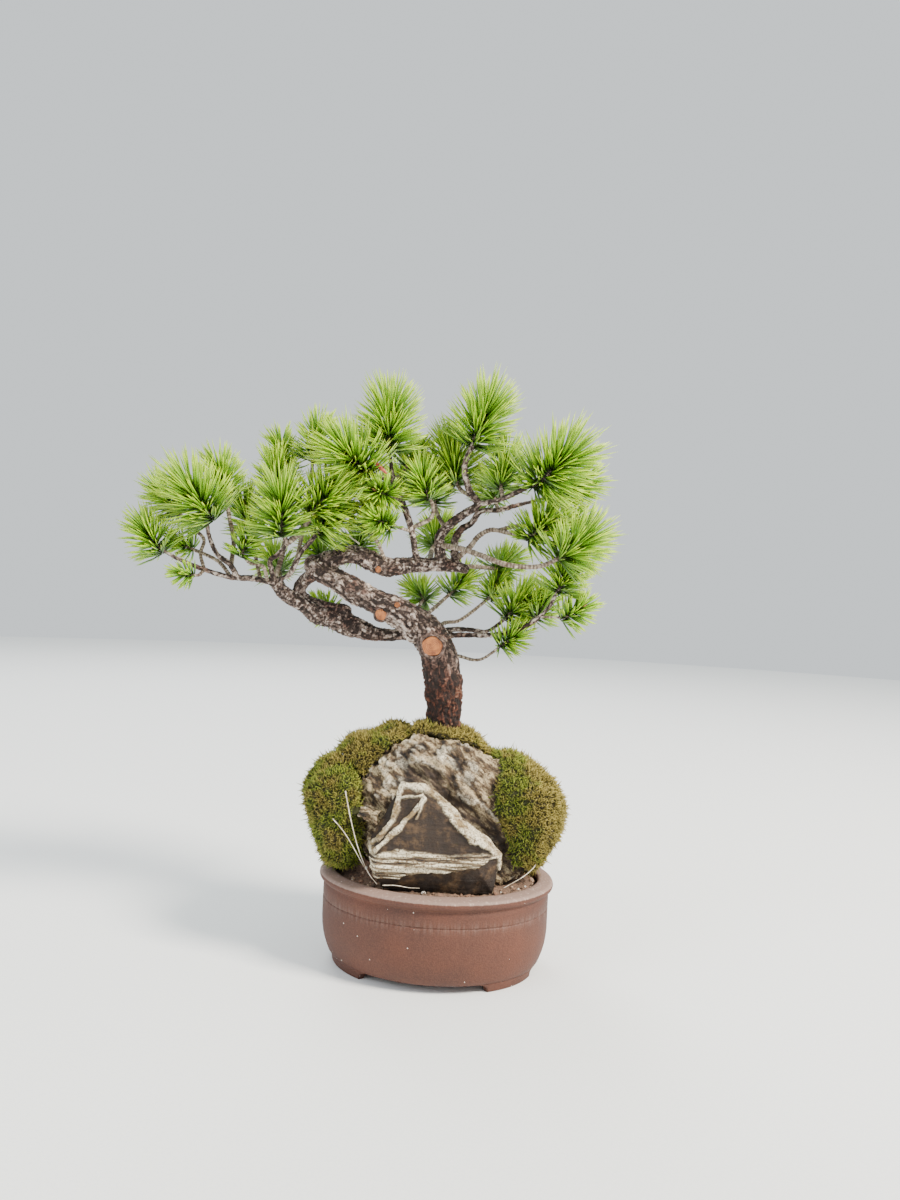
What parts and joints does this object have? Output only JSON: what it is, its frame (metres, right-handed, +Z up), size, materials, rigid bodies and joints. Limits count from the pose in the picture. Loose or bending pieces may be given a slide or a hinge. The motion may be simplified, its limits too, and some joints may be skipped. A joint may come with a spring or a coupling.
{
  "type": "bonsai tree in a bowl",
  "caption": "Bonsai pine in an oval footed stoneware bowl: a leaning trunk with needle tufts on bare branches, over moss cushions and rocks.",
  "frame": {"origin": "middle of the underside of the whole plant's box, on the surface that the bowl's feet stand on; the bowl's own middle is 130 mm to +X and 28 mm to -Y of it", "axes": "+Z up, the plant's front faces -Y, +X to the right seen from the front; the bowl's long axis is turned 7 degrees clockwise seen from above"},
  "size_m": [0.8028, 0.3812, 0.9708],
  "materials": {
    "stoneware": "matte",
    "screen": "matte",
    "soil": "matte",
    "moss": "matte",
    "boulder": "matte",
    "slate": "matte",
    "bark": "matte",
    "needles": "satin"
  },
  "bodies": {
    "root": {"bowl": "stoneware", "drain_screen_left": "screen", "drain_screen_right": "screen", "soil": "soil", "moss_left": "moss", "moss_upper": "moss", "moss_crown": "moss", "moss_right": "moss", "moss_back": "moss", "rock_large": "boulder", "rock_slate": "slate", "rock_small": "boulder", "trunk_and_branches": "bark", "needles_left_1": "needles", "needles_left_2": "needles", "needles_left_3": "needles", "needles_left_4": "needles", "needles_left_5": "needles", "needles_left_6": "needles", "needles_left_7": "needles", "needles_left_8": "needles", "needles_left_9": "needles", "needles_left_10": "needles", "needles_left_11": "needles", "needles_left_12": "needles", "needles_left_13": "needles", "needles_left_14": "needles", "needles_left_15": "needles", "needles_left_16": "needles", "needles_crown_1": "needles", "needles_crown_2": "needles", "needles_crown_3": "needles", "needles_crown_4": "needles", "needles_crown_5": "needles", "needles_crown_6": "needles", "needles_crown_7": "needles", "needles_crown_8": "needles", "needles_crown_9": "needles", "needles_crown_10": "needles", "needles_crown_11": "needles", "needles_crown_12": "needles", "needles_crown_13": "needles", "needles_crown_14": "needles", "needles_crown_15": "needles", "needles_right_1": "needles", "needles_right_2": "needles", "needles_right_3": "needles", "needles_right_4": "needles", "needles_right_5": "needles", "needles_right_6": "needles", "needles_right_7": "needles", "needles_right_8": "needles", "needles_right_9": "needles", "needles_right_10": "needles", "needles_right_11": "needles", "needles_back_1": "needles", "needles_back_2": "needles", "needles_back_3": "needles", "needles_back_4": "needles", "needles_back_5": "needles"}
  },
  "joints": []
}
